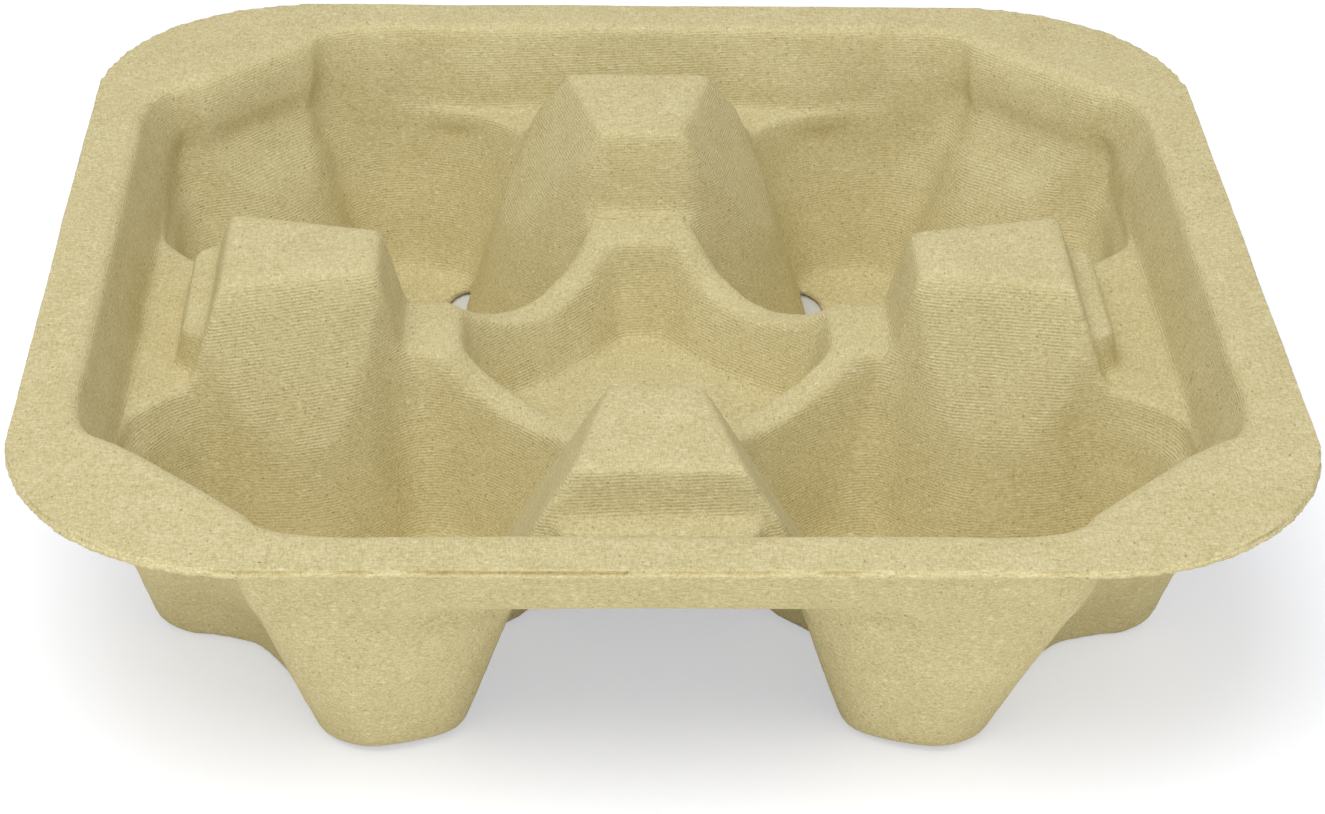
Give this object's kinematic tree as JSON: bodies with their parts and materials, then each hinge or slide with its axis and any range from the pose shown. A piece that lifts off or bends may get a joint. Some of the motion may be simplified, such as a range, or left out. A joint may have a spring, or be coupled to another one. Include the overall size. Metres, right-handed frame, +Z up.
{
  "type": "cardboard cup carrier",
  "caption": "Square moulded-fibre tray that carries drinking cups in tapered pockets around a central well, with raised humps and a wide flat rim.",
  "frame": {"origin": "centre of the tray in plan, on the surface that its feet stand on", "axes": "+Z up out of the cup mouths; +X and +Y parallel to the straight edges of the rim. The drain slots lie beside the humps at +Y and -Y."},
  "size_m": [0.215, 0.215, 0.0513],
  "materials": {
    "fibre": "rough, uncoated moulded pulp"
  },
  "bodies": {
    "root": {"tray": "fibre"}
  },
  "joints": []
}
